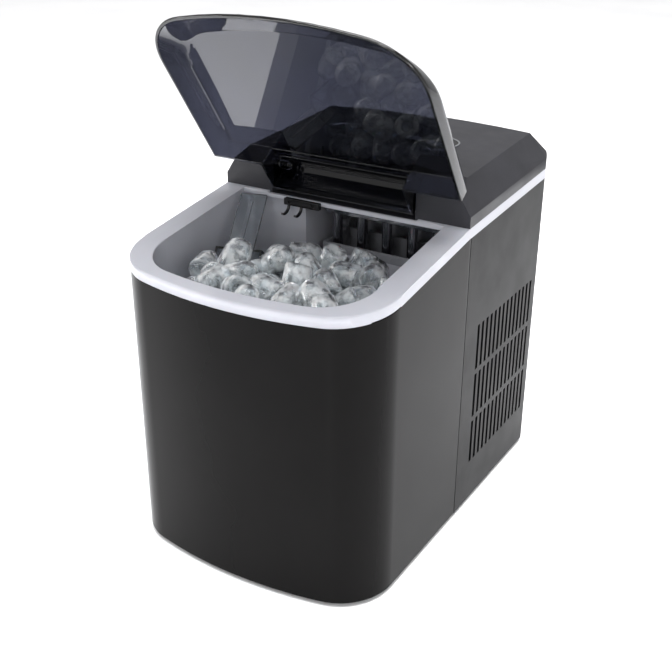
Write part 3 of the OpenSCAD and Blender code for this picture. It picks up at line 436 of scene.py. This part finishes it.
class ICEMAKER_OT_housing(bpy.types.Operator):
    """Front and rear shells, base pan and feet"""
    bl_idname = "icemaker.housing"
    bl_label = "Housing"

    def execute(self, context):
        edge = context.scene.ice_maker_sizes.case_edge / MM
        refine("front_shell", edge)
        refine("rear_shell", 0)
        refine("base_pan", 0)
        refine("feet", 0.5)
        return {"FINISHED"}


class ICEMAKER_OT_liner(bpy.types.Operator):
    """White rim, tank and chamber in one moulding, and the foam around the tank"""
    bl_idname = "icemaker.liner"
    bl_label = "Liner"

    def execute(self, context):
        # only the rim's front half is rounded: rounding every edge of the moulding left spikes
        rim_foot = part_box("tank_liner")[1][2] - 0.040
        rim_back = -0.012
        refine("tank_liner", context.scene.ice_maker_sizes.rim_edge / MM, 3,
               where=lambda spot: spot.y < rim_back and spot.z > rim_foot)
        repaint("tank_foam")
        return {"FINISHED"}


class ICEMAKER_OT_cover(bpy.types.Operator):
    """Charcoal top cover with its hinge lugs and pins"""
    bl_idname = "icemaker.cover"
    bl_label = "Top cover"

    def execute(self, context):
        refine("top_cover", 0)
        refine("hinge_pins", 0.2)
        return {"FINISHED"}


class ICEMAKER_OT_lid(bpy.types.Operator):
    """Smoked lid"""
    bl_idname = "icemaker.lid"
    bl_label = "Lid"

    def execute(self, context):
        refine("lid", 0.7, 3, 28)
        return {"FINISHED"}


def on_window(x, y):
    """Point just above the window, x and y in millimetres from its middle."""
    low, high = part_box("control_lens")
    half = (high[1] - low[1]) / 2
    return Vector(((low[0] + high[0]) / 2 + x * MM,
                   (low[1] + high[1]) / 2 + y * MM * math.cos(WINDOW_TILT),
                   high[2] - half * math.tan(WINDOW_TILT) + y * MM * math.sin(WINDOW_TILT) + PRINT_LIFT))


def print_arc(shape, x, y, inner, outer, start=0, sweep=360):
    """Ring or part of one, printed at x, y; angles in degrees, anticlockwise from the right."""
    steps = 24
    spots = [start + sweep * k / steps for k in range(steps + 1)]
    rims = [[shape.verts.new(on_window(x + r * math.cos(math.radians(a)), y + r * math.sin(math.radians(a))))
             for a in spots] for r in (inner, outer)]
    for k in range(steps):
        shape.faces.new((rims[0][k], rims[1][k], rims[1][k + 1], rims[0][k + 1]))


def print_bar(shape, x, y, width, height):
    """Upright or level bar printed with its middle at x, y."""
    w, h = width / 2, height / 2
    corners = ((-w, -h), (w, -h), (w, h), (-w, h))
    shape.faces.new([shape.verts.new(on_window(x + a, y + b)) for a, b in corners])


class ICEMAKER_OT_controls(bpy.types.Operator):
    """Control window with its bezel, keys, lights and board"""
    bl_idname = "icemaker.controls"
    bl_label = "Controls"

    def execute(self, context):
        refine("panel_bezel", 0.5, 3)
        refine("control_lens", 0.3, 2)
        for node in ("power_button", "select_button"):
            refine(node, 0.35, 3, 60)
        repaint("indicator_leds", "display_board")
        marks = bmesh.new()
        for k, size in enumerate((2.5, 1.9, 1.3)):
            print_arc(marks, -42 + 15 * k, 8, size - 0.5, size)
        print_arc(marks, 3, 7.4, 1.5, 2.0, 150, 240)
        print_arc(marks, 3, 9.6, 0.1, 0.6)
        for k in range(4):
            print_bar(marks, -42 + 15 * k, -4.5, 6, 0.5)
        print_arc(marks, 22, 10.5, 1.5, 2.0, 120, 300)
        print_bar(marks, 22, 12.2, 0.5, 2)
        for k in range(3):
            print_arc(marks, 41 + 2.6 * k, 7.6, 0.1, 0.7)
        piece("window_print", marks, "print", BODY_OF["control_lens"], smooth=False)
        return {"FINISHED"}


class ICEMAKER_OT_ice_works(bpy.types.Operator):
    """Evaporator with its fingers, bracket, tray, shovel, motor and ice sensor"""
    bl_idname = "icemaker.ice_works"
    bl_label = "Ice works"

    def execute(self, context):
        refine("evaporator", 0.5, 2)
        refine("evaporator_bracket", 0.4)
        refine("water_tray", 0.8, 3)
        refine("ice_shovel", 0.5)
        refine("tray_motor", 0.6)
        refine("ice_sensor", 0.4)
        return {"FINISHED"}


class ICEMAKER_OT_basket(bpy.types.Operator):
    """Frosted basket, float and stem"""
    bl_idname = "icemaker.basket"
    bl_label = "Basket"

    def execute(self, context):
        refine("ice_basket", 0.5)
        refine("float_stem", 0.4)
        refine("level_float", 0.8)
        return {"FINISHED"}


class ICEMAKER_OT_scoop(bpy.types.Operator):
    """Clear scoop"""
    bl_idname = "icemaker.scoop"
    bl_label = "Scoop"

    def execute(self, context):
        refine("ice_scoop", 0.5, 3)
        return {"FINISHED"}


def settle(count, radius, rng):
    """Centres of lumps poured into the basket and pushed apart until they rest, clear of the scoop."""
    steps, fast_steps = 500, 420
    scoop_gap = 17 * MM
    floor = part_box("ice_basket")[0][2] + radius + 5 * MM
    low, high = np.array(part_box("ice_basket"))
    wall = radius + 4.5 * MM
    low = np.array([low[0] + wall, low[1] + wall, floor])
    high = np.array([high[0] - wall, -0.016 - radius, 0.40])
    spots = rng.uniform(low, [high[0], high[1], 0.30], (count, 3))
    # where the scoop's bowl begins, the way it points, and its length
    scoop = np.array((-0.070, -0.056, 0.240))
    along = np.array((0.234, -0.736, -0.636))
    bowl = 0.082
    corner = 0.026
    middle = np.array((0.012, -0.078))
    for step in range(steps):
        spots[:, 2] -= 0.9 * MM if step < fast_steps else 0.2 * MM
        spots[:, :2] += (middle - spots[:, :2]) * 0.004
        for _ in range(3):
            gap = spots[:, None] - spots[None]
            far = np.linalg.norm(gap, axis=2) + np.eye(count)
            push = np.clip(1.9 * radius - far, 0, None) * 0.35
            spots += (gap / far[..., None] * push[..., None]).sum(axis=1)
            reach = np.clip((spots - scoop) @ along, 0, bowl)
            off = spots - (scoop + reach[:, None] * along)
            clear = np.linalg.norm(off, axis=1)
            spots += off / clear[:, None] * np.clip(radius + scoop_gap - clear, 0, None)[:, None]
            spots = np.clip(spots, low, high)
            near = np.clip(low[:2] + corner - spots[:, :2], 0, None)
            near[:, 0] += np.clip(spots[:, 0] - high[0] + corner, 0, None)
            reach = np.linalg.norm(near, axis=1)
            fix = np.clip(reach - corner, 0, None) / np.maximum(reach, 1e-6)
            spots[:, 1] += near[:, 1] * fix
            spots[:, 0] += near[:, 0] * fix * np.sign(-spots[:, 0])
    return spots


def bullet(radius, length):
    """One piece of ice as it leaves a finger: round at one end, with the finger's hole in the other."""
    shape = bmesh.new()
    side = radius * 0.96
    outline = [(0, 0), (0.45 * side, 0.08 * side), (0.8 * side, 0.4 * side), (0.97 * side, 0.9 * side),
               (side, length - 1.5 * MM), (side * 0.9, length), (side * 0.52, length - 0.6 * MM),
               (side * 0.4, length * 0.62), (side * 0.22, length * 0.45), (0, length * 0.4)]
    rings = []
    for r, z in outline:
        turns = 12 if r else 1
        rings.append([shape.verts.new((r * math.cos(k * math.tau / 12), r * math.sin(k * math.tau / 12),
                                       z - length / 2)) for k in range(turns)])
    for one, two in zip(rings, rings[1:]):
        for k in range(12):
            a, b = one[k % len(one)], one[(k + 1) % len(one)]
            c, d = two[(k + 1) % len(two)], two[k % len(two)]
            shape.faces.new([v for n, v in enumerate((d, c, b, a)) if v not in (d, c, b, a)[:n]])
    mesh = bpy.data.meshes.new("bullet")
    shape.to_mesh(mesh)
    shape.free()
    mesh.shade_smooth()
    return bpy.data.objects.new("bullet", mesh)


def heap_tree():
    """Geometry Nodes: one lump at each point, turned and sized by the point's own values."""
    tree = bpy.data.node_groups.new("ice_heap", "GeometryNodeTree")
    face = tree.interface
    for name, kind in (("Points", "NodeSocketGeometry"), ("Lump", "NodeSocketObject"),
                       ("Scale", "NodeSocketFloat"), ("Finish", "NodeSocketMaterial")):
        face.new_socket(name, in_out="INPUT", socket_type=kind)
    face.new_socket("Heap", in_out="OUTPUT", socket_type="NodeSocketGeometry")
    given = add(tree, "NodeGroupInput").outputs
    lump = add(tree, "GeometryNodeObjectInfo", [("Object", given["Lump"])])
    turn = add(tree, "GeometryNodeInputNamedAttribute", data_type="FLOAT_VECTOR", in_Name="turn")
    size = add(tree, "GeometryNodeInputNamedAttribute", data_type="FLOAT", in_Name="size")
    scale = add(tree, "ShaderNodeMath", [(0, size.outputs["Attribute"]), (1, given["Scale"])],
                operation="MULTIPLY")
    lumps = add(tree, "GeometryNodeInstanceOnPoints",
                [("Points", given["Points"]), ("Instance", lump.outputs["Geometry"]),
                 ("Rotation", turn.outputs["Attribute"]), ("Scale", scale.outputs["Value"])])
    real = add(tree, "GeometryNodeRealizeInstances", [("Geometry", lumps.outputs["Instances"])])
    done = add(tree, "GeometryNodeSetMaterial",
               [("Geometry", real.outputs["Geometry"]), ("Material", given["Finish"])])
    add(tree, "NodeGroupOutput", [("Heap", done.outputs["Geometry"])])
    return tree


class ICEMAKER_OT_ice(bpy.types.Operator):
    """Heap of bullet-shaped ice in the basket"""
    bl_idname = "icemaker.ice"
    bl_label = "Ice"

    def execute(self, context):
        sizes = context.scene.ice_maker_sizes
        rng = np.random.default_rng(11)
        spots = settle(sizes.ice_count, sizes.ice_radius, rng)
        mesh = bpy.data.meshes.new("ice_heap")
        mesh.from_pydata([tuple(spot) for spot in spots], [], [])
        mesh.attributes.new("turn", "FLOAT_VECTOR", "POINT").data.foreach_set(
            "vector", rng.uniform(0, math.tau, 3 * len(spots)))
        mesh.attributes.new("size", "FLOAT", "POINT").data.foreach_set(
            "value", rng.uniform(0.84, 1.0, len(spots)))
        thing = bpy.data.objects.new("ice_heap", mesh)
        context.scene.collection.objects.link(thing)
        lump = bullet(sizes.ice_radius, sizes.ice_length)
        context.scene.collection.objects.link(lump)
        heap = thing.modifiers.new("heap", "NODES")
        heap.node_group = heap_tree()
        names = {item.name: item.identifier for item in heap.node_group.interface.items_tree
                 if item.item_type == "SOCKET" and item.in_out == "INPUT"}
        heap[names["Lump"]] = lump
        heap[names["Scale"]] = 1.0
        heap[names["Finish"]] = FINISHES["ice"]
        context.view_layer.update()
        apply_all(thing)
        bpy.data.objects.remove(lump)
        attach(thing, "basket")
        return {"FINISHED"}


class ICEMAKER_OT_cooling(bpy.types.Operator):
    """Compressor, condenser, fan and refrigerant pipes"""
    bl_idname = "icemaker.cooling"
    bl_label = "Cooling"

    def execute(self, context):
        refine("compressor", 1.2, 3)
        refine("fan_shroud", 0.5)
        refine("fan_bracket", 0.4)
        refine("fan_motor", 0.5)
        refine("fan_blades", 0.4)
        refine("filter_drier", 0.5)
        refine("hot_gas_valve", 0.5)
        repaint("compressor_mounts", "condenser", "capillary", "hot_gas_pipe", "discharge_pipe",
                "suction_pipe", "board_box", "main_board")
        return {"FINISHED"}


class ICEMAKER_OT_water(bpy.types.Operator):
    """Pump, hoses and drain"""
    bl_idname = "icemaker.water"
    bl_label = "Water side"

    def execute(self, context):
        refine("water_pump", 0.6)
        refine("drain_spout", 0.5)
        refine("drain_cap", 0.4)
        repaint("pump_hose", "pump_inlet_hose", "drain_hose")
        return {"FINISHED"}


class ICEMAKER_OT_rear(bpy.types.Operator):
    """Rear grille, its screws and the cord gland"""
    bl_idname = "icemaker.rear"
    bl_label = "Rear"

    def execute(self, context):
        refine("rear_grille", 0.5)
        refine("case_screws", 0.25)
        refine("cord_gland", 0.6)
        return {"FINISHED"}


STEPS = ("stage", "housing", "liner", "cover", "lid", "controls", "ice_works", "basket", "scoop", "ice",
         "cooling", "water", "rear")


class ICEMAKER_PT_panel(bpy.types.Panel):
    """Lists the pieces and their sizes"""
    bl_label = "Ice maker"
    bl_idname = "ICEMAKER_PT_panel"
    bl_space_type = "VIEW_3D"
    bl_region_type = "UI"
    bl_category = "Ice maker"

    def draw(self, context):
        for step in STEPS:
            self.layout.operator("icemaker." + step)
        for group in (context.scene.ice_maker_sizes, context.scene.ice_maker_look):
            for name in group.__annotations__:
                self.layout.prop(group, name)


CLASSES = (IceMakerSizes, IceMakerLook, ICEMAKER_OT_stage, ICEMAKER_OT_housing, ICEMAKER_OT_liner,
           ICEMAKER_OT_cover, ICEMAKER_OT_lid, ICEMAKER_OT_controls, ICEMAKER_OT_ice_works,
           ICEMAKER_OT_basket, ICEMAKER_OT_scoop, ICEMAKER_OT_ice, ICEMAKER_OT_cooling, ICEMAKER_OT_water,
           ICEMAKER_OT_rear, ICEMAKER_PT_panel)


def register():
    for item in CLASSES:
        bpy.utils.register_class(item)
    bpy.types.Scene.ice_maker_sizes = bpy.props.PointerProperty(type=IceMakerSizes)
    bpy.types.Scene.ice_maker_look = bpy.props.PointerProperty(type=IceMakerLook)


def unregister():
    del bpy.types.Scene.ice_maker_look
    del bpy.types.Scene.ice_maker_sizes
    for item in reversed(CLASSES):
        bpy.utils.unregister_class(item)


def main():
    register()
    FINISHES.update(make_finishes())
    for step in STEPS:
        getattr(bpy.ops.icemaker, step)()


if __name__ == "__main__":
    main()
